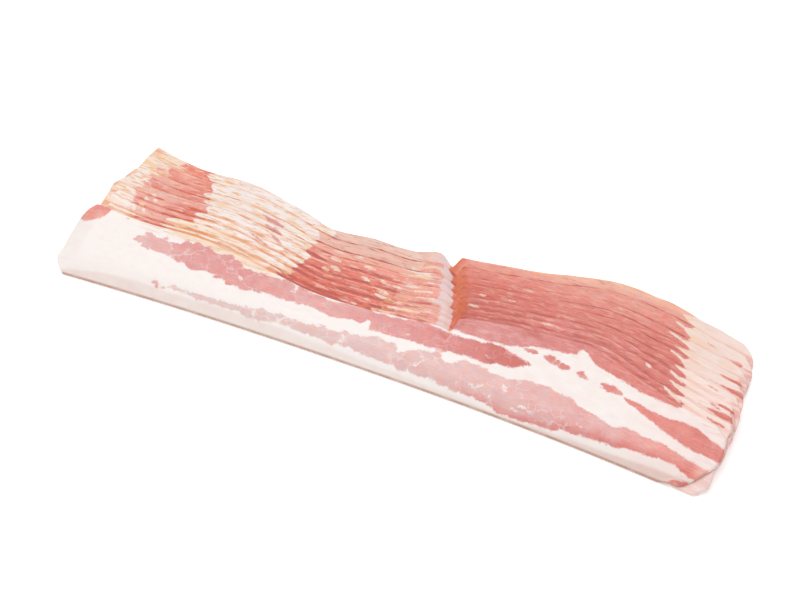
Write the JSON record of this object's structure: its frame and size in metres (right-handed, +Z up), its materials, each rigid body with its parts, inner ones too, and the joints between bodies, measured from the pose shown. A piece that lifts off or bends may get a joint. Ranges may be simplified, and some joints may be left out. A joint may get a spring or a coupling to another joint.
{
  "type": "sliced bacon",
  "caption": "Shingled stack of thin raw streaky bacon slices, long and narrow, with a notch in the smoked back edge and a thick fat layer along the front.",
  "frame": {"origin": "middle of the stack's underside, on the surface it lies on", "axes": "+X along the slices, with the wide lean end at +X; +Y from the fat front edge of the top slice to the smoked back edge of the lowest one; +Z up"},
  "size_m": [0.2724, 0.0842, 0.0173],
  "materials": {
    "bacon_lower": "moist satin, raw lean with a smoked edge",
    "bacon_top": "moist satin, white fat with pink lean streaks"
  },
  "bodies": {
    "root": {"slice_00": "bacon_lower", "slice_01": "bacon_lower", "slice_02": "bacon_lower", "slice_03": "bacon_lower", "slice_04": "bacon_lower", "slice_05": "bacon_lower", "slice_06": "bacon_lower", "slice_07": "bacon_lower", "slice_08": "bacon_lower", "slice_09": "bacon_top"}
  },
  "joints": []
}
